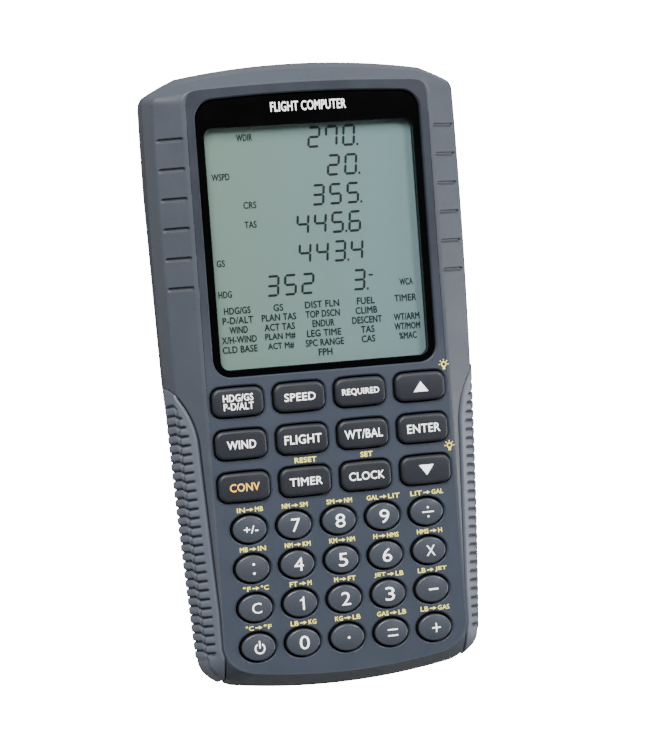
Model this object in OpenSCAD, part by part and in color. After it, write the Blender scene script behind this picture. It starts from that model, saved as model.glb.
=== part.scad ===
// Handheld electronic flight computer, lying on its back.
// Origin: the middle of the flat back. +X runs to the right of the keypad,
// +Y to the display end and +Z out of the keypad. Millimetres.

/* [Body] */
// Overall length of the casing
body_length = 179; // [178:0.5:181]
// Half of the width at the widest point of the parting line
seam_half_width = 46.1; // [46:0.1:47]
// How far the rail's outer rim lies inside the parting line
rim_inset = 2; // [1.6:0.1:2.2]
// Half of the width of the flat face
face_half_width = 36; // [35.8:0.1:36.4]
// Height of the flat face above the back
face_height = 24; // [24:0.5:25]
// Height of the rails' outer rim above the back
rim_height = 20; // [19.6:0.2:20.4]
// Thickness of the casing's walls
wall = 2.2; // [2.1:0.1:2.3]

/* [Display] */
// Width of the window lens
lens_width = 66; // [65:0.2:66.6]
// Bottom edge of the lens, measured from the body's middle
lens_bottom = 1; // [1:0.1:1.4]
// Top edge of the lens at its middle
lens_top = 80.9; // [80.4:0.1:81]
// Depth of the lens below the flat face
lens_recess = 0.6; // [0.4:0.1:0.7]
// Thickness of the lens
lens_thickness = 1.2; // [1.1:0.1:1.3]
// Width of the visible screen
screen_width = 60.8; // [60:0.2:61]
// Height of the visible screen
screen_height = 68; // [67.6:0.1:68.2]

/* [Keys] */
// Distance between the oval keys across the body
oval_pitch_x = 13; // [12.9:0.05:13.1]
// Distance between the rows of oval keys
oval_pitch_y = 11.17; // [11.1:0.01:11.2]
// Distance between the wide keys across the body
wide_pitch_x = 17.77; // [17.6:0.01:17.8]
// Distance between the rows of wide keys
wide_pitch_y = 12; // [11.9:0.05:12.1]
// Gap between a key and the edge of its hole
key_gap = 0.35; // [0.3:0.05:0.45]
// Travel of a key when it is pressed
key_travel = 1; // [0.8:0.1:1]
// Height of the wide keys above the flat face
wide_key_height = 1.5; // [1.3:0.1:1.8]
// Height of the oval keys above the flat face
oval_key_height = 1.3; // [1.2:0.1:1.6]

/* [Grips] */
// Distance between the grip's ribs
rib_pitch = 2.57; // [2.5:0.01:2.57]
// Number of grooves between the ribs
rib_count = 28; // [24:1:28]
// Thickness of the rubber grips
grip_thickness = 1.2; // [1:0.1:1.2]

/* [Batteries] */
// Diameter of one cell
cell_diameter = 10.5; // [10:0.1:10.5]
// Length of one cell without its button
cell_length = 43.7; // [43:0.1:43.7]
// Number of cells side by side
cell_count = 3; // [2:1:3]

/* [Hidden] */
$fn = 32;
slit = 0.01;                       // thickness of the slices that a hull joins
seam_height = 14;                  // parting line between the two shells
half_length = body_length / 2;
widest_y = 45;                     // where the sides are furthest apart
side_radius = 1900;
face_corner = 6;
// Outline corners: [distance inside the widest side, distance inside the end].
bottom_corner = [[10.1, 4.2], [7.5, 6], [5.5, 8], [4.8, 10.2]];
top_corner = [[0.3, 10.4], [0.5, 8.8], [1.3, 7.3], [2.8, 6.4]];

// Shell sections below the parting line: [height, then the inset from the parting line's outline
// at the grips, at the middle and at the display end].
rear_levels = [[0, 6.5, 5, 3.2], [0.35, 5.2, 3.8, 2.2], [1, 4.2, 2.9, 1.5], [2, 3.4, 2.1, 0.95],
               [3.5, 2.8, 1.35, 0.45], [5.5, 2.2, 0.8, 0.15], [8, 1.45, 0.35, 0.05],
               [seam_height, 0, 0, 0]];
rear_zones = [[-100, -2], [-2, 30], [55, 100]];

// Display stack, from the face inwards.
lens_z = face_height - lens_recess - lens_thickness;
gasket_thickness = 0.15;
ledge_z = lens_z - gasket_thickness;
ledge_thickness = 0.75;
frame_top = ledge_z - ledge_thickness;
frame_lip = 0.5;
lcd_thickness = 1.8;
lcd_z = frame_top - frame_lip - lcd_thickness;
backlight_thickness = 1.1;
screen_bottom = 3.6;
lens_corner = 4.5;
lens_bow = 1.2;                    // how far the lens's top edge bows out
screen_corner = 2.5;

// Board and keypad stack.
board_top = lcd_z - backlight_thickness;
board_thickness = 1.6;
mat_thickness = 0.8;
dome_height = 1.3;
dome_radius = 2.9;
dome_top_radius = 1.7;
flange_thickness = 1;
flange_gap = 0.1;
flange_lip = 0.55;
flange_top = face_height - wall - flange_gap;
stem_bottom = board_top + mat_thickness + dome_height;
board_half_width = 36.4;
board_bottom = -81;
board_end = 83.6;
frame_size = [68.4, 77.4];
frame_y = 40;

// Keys: [node name, column, row], counted from the top left key.
oval_size = [11.1, 8.9];
oval_gap = key_gap + 0.15;
wide_size = [15.5, 8.5];
wide_corner = 3;
first_oval_y = -41.4;
first_wide_y = -5.3;
wide_keys = [
    ["key_heading", 0, 0], ["key_speed", 1, 0], ["key_required", 2, 0], ["key_up", 3, 0],
    ["key_wind", 0, 1], ["key_flight", 1, 1], ["key_weight", 2, 1], ["key_enter", 3, 1],
    ["key_convert", 0, 2], ["key_timer", 1, 2], ["key_clock", 2, 2], ["key_down", 3, 2]];
oval_keys = [
    ["key_sign", 0, 0], ["key_7", 1, 0], ["key_8", 2, 0], ["key_9", 3, 0], ["key_divide", 4, 0],
    ["key_colon", 0, 1], ["key_4", 1, 1], ["key_5", 2, 1], ["key_6", 3, 1], ["key_multiply", 4, 1],
    ["key_clear", 0, 2], ["key_1", 1, 2], ["key_2", 2, 2], ["key_3", 3, 2], ["key_minus", 4, 2],
    ["key_power", 0, 3], ["key_0", 1, 3], ["key_decimal", 2, 3], ["key_equals", 3, 3], ["key_plus", 4, 3]];

// Grip: the seam between grip and face runs down the rail, after an arc from the body's edge.
grip_top_y = -0.5;
grip_arc_radius = 27;
grip_arc_y = -18.5;
grip_line_x = 38;                  // half distance between the two grips at the arc's end
grip_line_slope = 0.041;           // how the grips close in towards the bottom end
grip_floor = 5;                    // lowest part of the grip above the back
grip_proud = 0.3;                  // how far the grip stands out from the casing
grip_seam = 0.12;                  // gap all round the grip
groove_depth = 0.6;
groove_width = 1.1;
first_groove_y = -6.5;

// Rail notches beside the display.
notch_count = 6;
notch_pitch = 8.31;
first_notch_y = 27.4;
notch_width = 1.1;
notch_depth = 0.5;

// Battery bay in the rear shell, and its door.
cell_pitch = cell_diameter + 0.7;
bay_half_width = cell_pitch * cell_count / 2 + 0.4;
bay_bottom = -82.6;
bay_length = 51.5;
bay_wall = 1.2;
bay_ceiling = 13.4;
cell_button = 0.8;                 // height of the positive button
cell_clearance = 0.15;
contact_thickness = 0.4;
door_inner = 2.2;                  // inner face of the door
door_recess = 0.2;                 // the door's face is this far inside the back
door_tongue = 1.5;                 // width of the tongue on each side of the door
door_gap = 0.2;
door_top = bay_bottom + bay_length + 2.5;
door_half_width = bay_half_width + 0.5;
cell_z = door_inner + 0.3 + cell_diameter / 2;
spring_radius = 3;
spring_wire = 0.35;
spring_turns = 4;

// Screws that hold the shells together, and the small ones that hold the board.
case_screws = [[37.2, 76.6], [37.2, 7.4], [35.3, -76.5]];
board_screws_at = [[34.4, -47], [34.4, -64], [29, 81.6]];
boss_radius = 2.7;
screw_hole_radius = 1.1;
screw_radius = 1.05;
screw_head_radius = 2.1;
screw_head_height = 1.5;
screw_well_radius = 2.4;
screw_well_depth = 6;
post_radius = 1.5;

housing_nodes = ["front_housing", "rear_housing", "left_grip", "right_grip", "battery_door"];
display_nodes = ["display_lens", "lens_gasket", "display_frame", "lcd_panel", "backlight_panel",
    "contact_strips"];
board_nodes = ["main_board", "processor_chip", "clock_crystal", "capacitors", "board_screws",
    "keypad_mat"];
power_nodes = ["battery_springs", "battery_contacts", "housing_screws"];
cell_nodes = [for (i = [1:cell_count]) str("battery_", i)];

// ---------- outlines ----------

// Half width of the casing at height y along the body: a shallow arc, widest at widest_y.
function side_x(y) = seam_half_width - pow(y - widest_y, 2) / (2 * side_radius);

function mirrored(points) = [for (i = [len(points) - 1:-1:0]) [-points[i][0], points[i][1]]];

// The casing's outline at the parting line, from the bottom middle round to the top middle.
right_outline = concat(
    [for (x = [0:11:33]) [x, -half_length + x * x / 380]],
    [for (p = bottom_corner) [seam_half_width - p[0], p[1] - half_length]],
    [for (y = [-66:27:69]) [side_x(y), y]],
    [for (p = top_corner) [seam_half_width - p[0], half_length - p[1]]],
    [for (x = [36:-12:0]) [x, half_length - x * x / 440]]);

module seam_outline(inset = 0)
    offset(delta = -inset) polygon(concat(right_outline, mirrored(right_outline)));

// The flat face: straight sides, a bowed top and bottom, and round corners.
module face_outline(inset = 0) {
    end = half_length - 5.9;
    points = concat(
        [for (x = [0:9:36]) [x * face_half_width / 36, -end - 1.1 + x * x / 640]],
        [for (x = [36:-9:0]) [x * face_half_width / 36, end - x * x / 900]]);
    offset(r = face_corner, $fn = 24) offset(delta = -face_corner - inset)
        polygon(concat(points, mirrored(points)));
}

module slice(z) translate([0, 0, z]) linear_extrude(slit) children();

// A section below the parting line, whose inset changes from one zone of its length to the next.
module rear_outline(level, skin)
    for (zone = [0:2]) intersection() {
        seam_outline(level[zone + 1] + skin);
        translate([-60, rear_zones[zone][0]]) square([120, rear_zones[zone][1] - rear_zones[zone][0]]);
    }

// The whole casing as one solid. With a skin, it is the casing without its outer skin.
module casing(skin = 0) {
    hull() {
        for (level = rear_levels)
            slice(max(level[0], skin)) rear_outline(level, skin);
        slice(rim_height - skin * 0.9) seam_outline(rim_inset + skin * 0.8);
        slice(face_height - slit - skin) face_outline(skin * 0.3);
    }
}

module rounded_rectangle(size, radius) {
    for (x = [-1, 1], y = [-1, 1])
        translate([x * (size[0] / 2 - radius), y * (size[1] / 2 - radius)]) circle(radius);
    square([size[0] - 2 * radius, size[1]], center = true);
    square([size[0], size[1] - 2 * radius], center = true);
}

module oval(size, steps = 32)
    polygon([for (i = [0:steps - 1]) [size[0] / 2 * cos(360 * i / steps), size[1] / 2 * sin(360 * i / steps)]]);

// The lens: a rectangle with round corners whose top edge bows out.
module lens_outline(grow = 0) {
    half = lens_width / 2;
    points = [for (i = [4:-1:-4]) [half * i / 4, lens_top - lens_bow * i * i / 16]];
    offset(r = lens_corner + grow) offset(delta = -lens_corner)
        polygon(concat([[-half, lens_bottom], [half, lens_bottom]], points));
}

module screen_outline(grow = 0)
    translate([0, screen_bottom + screen_height / 2])
        rounded_rectangle([screen_width + 2 * grow, screen_height + 2 * grow], screen_corner + grow);

// ---------- places ----------

function wide_at(column, row) = [(column - 1.5) * wide_pitch_x, first_wide_y - row * wide_pitch_y];

function oval_at(column, row) = [(column - 2) * oval_pitch_x, first_oval_y - row * oval_pitch_y];

module each_wide_key() for (k = wide_keys) translate(wide_at(k[1], k[2])) children();

module each_oval_key() for (k = oval_keys) translate(oval_at(k[1], k[2])) children();

module each_case_screw() for (p = case_screws, s = [-1, 1]) translate([s * p[0], p[1], 0]) children();

module each_board_screw() for (p = board_screws_at, s = [-1, 1]) translate([s * p[0], p[1], 0]) children();

// ---------- grips ----------

// Where the right grip's inner edge is at height y along the body.
function grip_x(y) = y < grip_arc_y ? grip_line_x + grip_line_slope * (y - grip_arc_y)
    : grip_line_x + grip_arc_radius - sqrt(pow(grip_arc_radius, 2) - pow(y - grip_arc_y, 2));

// Plan of the area that the right grip covers.
module grip_plan(grow = 0) {
    far = seam_half_width + 5;
    edge = concat([-half_length - 2], [for (y = [grip_arc_y:3:grip_top_y]) y]);
    offset(delta = grow)
        polygon(concat([[far, edge[0]]], [for (y = edge) [grip_x(y), y]], [[far, grip_top_y]]));
}

module grip_space(grow = 0)
    translate([0, 0, grip_floor - grow]) linear_extrude(face_height) grip_plan(grow);

module grip(side) {
    color("dimgray") mirror([side < 0 ? 1 : 0, 0, 0]) difference() {
        intersection() {
            casing(-grip_proud);
            grip_space();
        }
        casing(grip_thickness);
        for (i = [0:rib_count - 1]) groove(first_groove_y - i * rib_pitch);
    }
}

// One groove between two ribs: it starts on the rail's face and runs round the side.
module groove(y) {
    inner = grip_x(y) + 2;
    seam = side_x(y) + grip_proud;
    rim = seam - rim_inset;
    fall = (face_height - rim_height) / (rim - face_half_width);
    translate([0, y + groove_width / 2, 0]) rotate([90, 0, 0]) linear_extrude(groove_width)
        polygon([[inner, face_height + 1], [inner, face_height - (inner - face_half_width) * fall - 0.2],
            [rim - 0.8, rim_height - 0.2], [seam - groove_depth, seam_height],
            [seam - groove_depth - 0.5, 7.5], [seam + 4, 7.5], [seam + 4, face_height + 1]]);
}

// ---------- casing ----------

module front_housing() {
    color("slategray") difference() {
        union() {
            difference() {
                intersection() {
                    casing();
                    translate([-60, -100, seam_height]) cube([120, 200, 20]);
                }
                casing(wall);
            }
            translate([0, 0, frame_top]) linear_extrude(ledge_thickness + 0.5) lens_outline(0.9);
            intersection() {
                casing(wall / 2);
                each_case_screw() translate([0, 0, seam_height + 0.1]) cylinder(h = 9, r = boss_radius);
            }
            each_board_screw() translate([0, 0, board_top]) cylinder(h = 4.6, r = post_radius);
        }
        translate([0, 0, ledge_z]) linear_extrude(5) lens_outline(0.15);
        translate([0, 0, frame_top - 1]) linear_extrude(5) screen_outline(1.2);
        translate([0, 0, frame_top - 1]) linear_extrude(5) each_wide_key()
            rounded_rectangle(wide_size, wide_corner);
        translate([0, 0, frame_top - 1]) linear_extrude(5) each_oval_key() oval(oval_size);
        each_case_screw() cylinder(h = seam_height + 4.2, r = screw_hole_radius);
        each_board_screw() cylinder(h = board_top + 3, r = 0.65);
        for (side = [0, 1]) mirror([side, 0, 0]) {
            difference() {
                grip_space(grip_seam);
                casing(grip_thickness + 0.05);
            }
            for (i = [0:notch_count - 1]) notch(first_notch_y + i * notch_pitch);
        }
    }
}

// A groove cut across the right rail, following its slope.
module notch(y) {
    rim = side_x(y) - rim_inset - 0.7;
    translate([0, y, 0]) rotate([90, 0, 0]) translate([0, 0, -notch_width / 2])
        linear_extrude(notch_width)
            polygon([[face_half_width + 0.2, face_height + 1],
                [face_half_width + 0.2, face_height - notch_depth],
                [rim, rim_height - notch_depth + 0.4], [rim, face_height + 1]]);
}

module door_plan(grow = 0)
    translate([-door_half_width - grow, -half_length - 5])
        square([2 * (door_half_width + grow), door_top + half_length + 5 + grow]);

module tongue_plan(grow = 0)
    translate([-door_half_width - door_tongue - grow, bay_bottom + 1 - grow])
        square([2 * (door_half_width + door_tongue + grow), door_top - bay_bottom - 3 + grow]);

module rear_housing() {
    bay = [2 * bay_half_width, bay_length, bay_ceiling];
    color("slategray") difference() {
        union() {
            difference() {
                intersection() {
                    casing();
                    translate([-60, -100, -1]) cube([120, 200, seam_height + 1]);
                }
                casing(wall);
            }
            seam_lip();
            intersection() {
                casing(wall / 2);
                union() {
                    translate([-bay_half_width - bay_wall, bay_bottom - bay_wall, door_inner - 1])
                        cube([bay[0] + 2 * bay_wall, bay_length + 2 * bay_wall, bay_ceiling + 2]);
                    translate([-door_half_width - door_tongue - 1.2, -half_length, 0])
                        cube([2 * (door_half_width + door_tongue + 1.2), door_top + half_length + 1.5,
                            door_inner + 1.4]);
                    each_case_screw() cylinder(h = seam_height - 0.1, r = boss_radius + 1);
                }
            }
        }
        translate([-bay_half_width, bay_bottom, -1]) cube(bay + [0, 0, 1]);
        translate([0, 0, -1]) linear_extrude(1 + door_inner + door_gap) door_plan(door_gap);
        translate([0, 0, 0.8]) linear_extrude(door_inner + door_gap - 0.8)
            translate([0, -12]) tongue_channel();
        each_case_screw() {
            cylinder(h = 60, r = screw_hole_radius + 0.25, center = true);
            translate([0, 0, -1]) cylinder(h = 1 + screw_well_depth, r = screw_well_radius);
        }
        for (side = [0, 1]) mirror([side, 0, 0]) difference() {
            grip_space(grip_seam);
            casing(grip_thickness + 0.05);
        }
        translate([0, 0, bay_ceiling + bay_wall]) linear_extrude(9) square([73.2, 171], center = true);
    }
}

// The channel that the door's tongues slide out along, open at the bottom end.
module tongue_channel() {
    half = door_half_width + door_tongue + door_gap;
    translate([-half, -half_length]) square([2 * half, half_length + 12 + door_top - 2 + door_gap]);
}

// A thin wall that stands up from the rear shell just inside the front one.
module seam_lip() {
    difference() {
        union() {
            translate([0, 0, seam_height - 2]) linear_extrude(2) seam_outline(wall - 0.3);
            linear_extrude(seam_height + 1.1) seam_outline(wall + 0.55);
        }
        translate([0, 0, -1]) linear_extrude(40) seam_outline(wall + 1.35);
        translate([-60, -100, -1]) cube([120, 200, seam_height - 1]);
        each_case_screw() cylinder(h = 40, r = boss_radius + 0.3);
    }
}

module battery_door() {
    ridge_y = door_top - 8;
    color("slategray") difference() {
        union() {
            intersection() {
                casing();
                translate([0, 0, door_recess]) linear_extrude(door_inner - door_recess) door_plan();
            }
            translate([0, 0, 1]) linear_extrude(door_inner - 1) tongue_plan();
        }
        for (i = [0:4]) translate([0, ridge_y - i * 2, 0])
            cube([16, 1, 2 * (door_recess + 0.5)], center = true);
    }
}

module housing_screws() {
    color("silver") each_case_screw() translate([0, 0, screw_well_depth - screw_head_height]) difference() {
        union() {
            cylinder(h = screw_head_height, r = screw_head_radius);
            cylinder(h = 10.5, r = screw_radius);
        }
        for (turn = [0, 90]) rotate(turn) cube([2.4, 0.6, 1.6], center = true);
    }
}

// ---------- display ----------

module display_lens()
    color("black") translate([0, 0, lens_z]) linear_extrude(lens_thickness) lens_outline();

module lens_gasket() {
    color("dimgray") translate([0, 0, ledge_z]) linear_extrude(gasket_thickness) difference() {
        lens_outline(-0.2);
        screen_outline(1.3);
    }
}

module display_frame() {
    color("black") difference() {
        translate([0, frame_y, board_top + 0.02]) linear_extrude(frame_top - board_top - 0.04)
            square(frame_size, center = true);
        translate([0, frame_y, board_top - 1]) linear_extrude(lcd_z + lcd_thickness + 1 - board_top)
            square(frame_size - [3, 1.8], center = true);
        translate([0, 0, lcd_z]) linear_extrude(5) screen_outline();
    }
}

module lcd_panel() {
    size = [65, 75.2, lcd_thickness - 0.04];
    color("darkseagreen") translate([-size[0] / 2, frame_y - size[1] / 2, lcd_z + 0.02]) cube(size);
}

module backlight_panel() {
    size = [64, 69.4, backlight_thickness - 0.04];
    color("white") translate([-size[0] / 2, frame_y - size[1] / 2, board_top + 0.02]) cube(size);
}

module contact_strips() {
    color("gray") for (side = [-1, 1])
        translate([0, frame_y + side * 36.4, board_top + backlight_thickness / 2])
            cube([62, 2, backlight_thickness - 0.04], center = true);
}

// ---------- board ----------

module main_board() {
    color("darkgreen") difference() {
        translate([0, (board_end + board_bottom) / 2, board_top - board_thickness])
            linear_extrude(board_thickness)
                rounded_rectangle([2 * board_half_width, board_end - board_bottom], 8);
        each_case_screw() cylinder(h = 40, r = boss_radius + 0.4);
        each_board_screw() cylinder(h = 40, r = 0.95);
    }
}

module processor_chip()
    color("black") translate([0, 38, board_top - board_thickness]) mirror([0, 0, 1]) difference() {
        translate([-7, -7, 0]) cube([14, 14, 1.6]);
        translate([-5, 5, 1.3]) cylinder(h = 1, r = 0.6);
    }

module clock_crystal()
    color("silver") translate([14, 36, board_top - board_thickness - 1.05]) rotate([90, 0, 0])
        cylinder(h = 6.2, r = 1);

module capacitors()
    color("navy") for (x = [-18, -12.5]) translate([x, 42, board_top - board_thickness]) mirror([0, 0, 1]) {
        cylinder(h = 5.4, r = 2);
    }

module board_screws()
    color("silver") each_board_screw() translate([0, 0, board_top - board_thickness]) {
        mirror([0, 0, 1]) cylinder(h = 1, r = 1.5);
        cylinder(h = 4, r = 0.6);
    }

module dome() {
    cylinder(h = mat_thickness + dome_height, r1 = dome_radius + 0.6, r2 = dome_top_radius);
}

module keypad_mat() {
    low = board_bottom + 0.6;
    high = 0.9;
    half_width = 32.7;
    color("gainsboro") translate([0, 0, board_top]) difference() {
        union() {
            translate([-half_width, low, 0]) cube([2 * half_width, high - low, mat_thickness]);
            each_wide_key() dome();
            each_oval_key() dome();
        }
        each_wide_key() dome_hollow();
        each_oval_key() dome_hollow();
    }
}

module dome_hollow()
    translate([0, 0, -slit]) cylinder(h = mat_thickness + dome_height - 0.6, r1 = dome_radius, r2 = 1.2);

// ---------- keys ----------

// A key's plunger and flange; the cap above is the child.
module key_body(size, corner) {
    flange = [size[0] + 2 * flange_lip, size[1] + 2 * flange_lip];
    translate([0, 0, stem_bottom]) cylinder(h = flange_top - stem_bottom, r = dome_top_radius);
    translate([0, 0, flange_top - flange_thickness]) linear_extrude(flange_thickness)
        rounded_rectangle(flange, corner + flange_lip);
    children();
}

module wide_key(column, row) {
    cap = [wide_size[0] - 2 * key_gap, wide_size[1] - 2 * key_gap];
    bow = 60;
    color("darkslategray") translate(wide_at(column, row)) key_body(wide_size, wide_corner)
        intersection() {
            translate([0, 0, flange_top - 0.1])
                linear_extrude(face_height + wide_key_height - flange_top + 0.1)
                    rounded_rectangle(cap, wide_corner - key_gap);
            translate([0, 0, face_height + wide_key_height - bow]) sphere(bow, $fn = 96);
        }
}

module oval_key(column, row) {
    cap = [oval_size[0] - 2 * oval_gap, oval_size[1] - 2 * oval_gap];
    bow = 14;
    color("slategray") translate(oval_at(column, row)) key_body(oval_size, 3.6)
        intersection() {
            translate([0, 0, flange_top - 0.1])
                linear_extrude(face_height + oval_key_height - flange_top + 0.1) oval(cap);
            translate([0, 0, face_height + oval_key_height - bow]) sphere(bow, $fn = 96);
        }
}

// ---------- batteries ----------

function cell_x(i) = (i - (cell_count + 1) / 2) * cell_pitch;

function cell_turn(i) = i % 2 == 0 ? 180 : 0;

// Places its children at cell i's middle, with +Y towards its button.
module at_cell(i)
    translate([cell_x(i), bay_bottom + bay_length / 2, cell_z]) rotate(cell_turn(i)) children();

module battery(i) {
    button_end = bay_length / 2 - contact_thickness - cell_clearance;
    color("goldenrod") at_cell(i) translate([0, button_end, 0]) rotate([90, 0, 0]) {
        cylinder(h = cell_button, r = 1.9);
        translate([0, 0, cell_button]) cylinder(h = cell_length, r = cell_diameter / 2);
    }
}

module battery_contacts() {
    color("silver") for (i = [1:cell_count]) at_cell(i) for (end = [-1, 1])
        translate([0, end * (bay_length / 2 - contact_thickness / 2 - 0.02), 0])
            cube([8.4, contact_thickness, 8.4], center = true);
}

// One ring of wire at angle a round a cone-shaped spring that runs along -Y.
function wire_ring(a, length) = let (
        share = a / (360 * spring_turns),
        r = spring_radius - share * 0.9,
        y = -share * length)
    [for (k = [0:5]) let (w = spring_wire * cos(60 * k), v = spring_wire * sin(60 * k))
        [(r + w) * cos(a), y + v, (r + w) * sin(a)]];

module spring(length) {
    steps = spring_turns * 12;
    rings = [for (i = [0:steps]) wire_ring(i * 360 * spring_turns / steps, length)];
    sides = [for (i = [0:steps - 1], k = [0:5])
        [i * 6 + k, i * 6 + (k + 1) % 6, (i + 1) * 6 + (k + 1) % 6, (i + 1) * 6 + k]];
    polyhedron(points = [for (ring = rings) each ring], convexity = 6,
        faces = concat([[5, 4, 3, 2, 1, 0]], sides, [[for (k = [0:5]) steps * 6 + k]]));
}

module battery_springs() {
    button_end = bay_length / 2 - contact_thickness - cell_clearance;
    cell_end = button_end - cell_button - cell_length;
    room = cell_end + bay_length / 2 - contact_thickness;
    color("silver") for (i = [1:cell_count]) at_cell(i)
        translate([0, cell_end - spring_wire - 0.05, 0]) spring(room - 2 * spring_wire - 0.1);
}

front_housing();
rear_housing();
grip(-1);  // left_grip
grip(1);  // right_grip
battery_door();
display_lens();
lens_gasket();
display_frame();
lcd_panel();
backlight_panel();
contact_strips();
main_board();
processor_chip();
clock_crystal();
capacitors();
board_screws();
keypad_mat();
battery_springs();
battery_contacts();
housing_screws();
for (i = [1:cell_count])
    battery(i);
for (k = wide_keys)
    wide_key(k[1], k[2]);
for (k = oval_keys)
    oval_key(k[1], k[2]);
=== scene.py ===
"""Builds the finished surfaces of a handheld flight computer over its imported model."""

import math

import bmesh
import bpy
import numpy as np
from bpy.props import FloatProperty, FloatVectorProperty, PointerProperty
from mathutils import Matrix, Vector
from mathutils.geometry import delaunay_2d_cdt


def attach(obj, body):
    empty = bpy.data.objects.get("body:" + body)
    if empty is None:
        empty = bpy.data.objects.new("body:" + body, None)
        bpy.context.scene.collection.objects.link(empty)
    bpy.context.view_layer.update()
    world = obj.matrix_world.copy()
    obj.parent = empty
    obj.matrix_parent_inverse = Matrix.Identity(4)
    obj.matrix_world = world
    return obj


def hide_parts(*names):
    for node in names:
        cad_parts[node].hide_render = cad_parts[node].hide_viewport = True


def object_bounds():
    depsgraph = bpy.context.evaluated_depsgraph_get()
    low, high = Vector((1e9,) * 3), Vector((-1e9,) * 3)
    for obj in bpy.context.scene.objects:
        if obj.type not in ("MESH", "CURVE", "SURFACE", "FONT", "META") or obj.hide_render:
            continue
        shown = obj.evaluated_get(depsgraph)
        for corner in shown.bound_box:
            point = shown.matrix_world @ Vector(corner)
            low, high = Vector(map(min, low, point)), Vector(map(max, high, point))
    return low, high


bl_info = {
    "name": "Flight computer",
    "version": (1, 0, 0),
    "blender": (4, 5, 0),
    "location": "3D View > Sidebar > Flight computer",
    "description": "Casing, keys and display of a handheld flight computer",
    "category": "Object",
}

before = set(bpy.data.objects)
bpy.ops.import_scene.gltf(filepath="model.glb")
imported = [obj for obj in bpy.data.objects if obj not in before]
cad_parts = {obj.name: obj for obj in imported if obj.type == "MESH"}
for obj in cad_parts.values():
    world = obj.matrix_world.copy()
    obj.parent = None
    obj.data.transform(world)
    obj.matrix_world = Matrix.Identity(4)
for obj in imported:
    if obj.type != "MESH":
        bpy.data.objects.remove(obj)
CAD_BOX = [list(corner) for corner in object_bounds()]
MM = 0.001

# Sizes in millimetres, in the frame that the CAD model uses.
HALF_LENGTH = CAD_BOX[1][1] / MM
WIDEST_Y = 45.0
SIDE_RADIUS = 1900.0
SEAM_Z = 14.0
RIM_Z = 20.0
RIM_INSET = 2.0
LOW_CORNER = [(33, -86.6), (36, -85.5), (38.6, -83.9), (40.7, -81.7), (41.6, -79.5), (41.7, -77.5)]
HIGH_CORNER = [(45.8, 78.9), (45.75, 80.6), (45.0, 82.0), (43.3, 83.1), (40, 84.8), (36, 86.5)]
FACE_LOW_CORNER = [(28, -82.4), (31, -81.4), (33.6, -79.6), (35.4, -77.2), (36, -74.5)]
FACE_HIGH_CORNER = [(36, 77.6), (35.8, 80.0), (34.4, 82.0), (31, 82.6)]
NOTCH_Y = 27.4 + 8.31 * np.arange(6)
GRIP_TIP_Y = -0.5
GROOVE_Y = -6.5 - 2.57 * np.arange(28)
RIB_PITCH = 2.57
KEY_COLUMNS, KEY_ROWS = (-26, -13, 0, 13, 26), (-41.4, -52.57, -63.74, -74.91)
WIDE_COLUMNS, WIDE_ROWS = (-26.655, -8.885, 8.885, 26.655), (-5.3, -17.3, -29.3)
OVAL_HOLE = (11.1, 8.9)
WIDE_HOLE, WIDE_CORNER = (15.5, 8.5), 2.6
LCD_Z = 20.84
FACE_Z, ROOF_Z = 24.0, 21.8                 # the flat face and the underside of its wall
LENS_TOP, LENS_BOTTOM = 23.4, 22.2
KEY_BOTTOM = 21.05                          # leaves room over the mat's domes for a full press
GRIP_RECESS = 1.2
PRINT_GAP = 0.02                            # printing's height above the surface that carries it

WIDE_KEYS = [
    ("key_heading", "HDG/GS\nP-D/ALT", 8.7, 4.5), ("key_speed", "SPEED", 9.1, 2.3),
    ("key_required", "REQUIRED", 10.9, 2.1), ("key_up", "up", 4.4, 3.0),
    ("key_wind", "WIND", 8.3, 2.4), ("key_flight", "FLIGHT", 10.8, 2.6),
    ("key_weight", "WT/BAL", 11.2, 2.6), ("key_enter", "ENTER", 9.8, 2.5),
    ("key_convert", "CONV", 8.6, 2.3), ("key_timer", "TIMER", 9.5, 2.3),
    ("key_clock", "CLOCK", 10.4, 2.4), ("key_down", "down", 4.4, 3.0)]
OVAL_KEYS = [
    ("key_sign", "+/-", 4.2, 2.2, "IN>MB"), ("key_7", "7", 2.6, 3.8, "NM>SM"),
    ("key_8", "8", 2.9, 3.9, "SM>NM"), ("key_9", "9", 2.9, 3.9, "GAL>LIT"),
    ("key_divide", "÷", 3.5, 3.3, "LIT>GAL"),
    ("key_colon", ":", 0.8, 2.6, "MB>IN"), ("key_4", "4", 2.8, 3.8, "NM>KM"),
    ("key_5", "5", 2.7, 3.8, "KM>NM"), ("key_6", "6", 2.8, 3.9, "H>HMS"),
    ("key_multiply", "X", 2.6, 3.0, "HMS>H"),
    ("key_clear", "C", 2.8, 3.0, "°F>°C"), ("key_1", "1", 1.6, 3.8, "FT>M"),
    ("key_2", "2", 2.7, 3.8, "M>FT"), ("key_3", "3", 2.8, 3.9, "JET>LB"),
    ("key_minus", "-", 2.8, 0.45, "LB>JET"),
    ("key_power", "power", 3.4, 3.8, "°C>°F"), ("key_0", "0", 2.9, 3.9, "LB>KG"),
    ("key_decimal", ".", 0.9, 0.9, "KG>LB"), ("key_equals", "=", 3.0, 1.7, "GAS>LB"),
    ("key_plus", "+", 2.6, 2.6, "LB>GAS")]
READINGS = [(0.0, 65.0, "270."), (5.1, 56.8, "20."), (0.0, 48.6, "355."), (-5.1, 40.5, "445.6"),
            (-5.1, 32.3, "443.4"), (-15.1, 23.7, "352"), (10.2, 23.7, "3.")]
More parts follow.
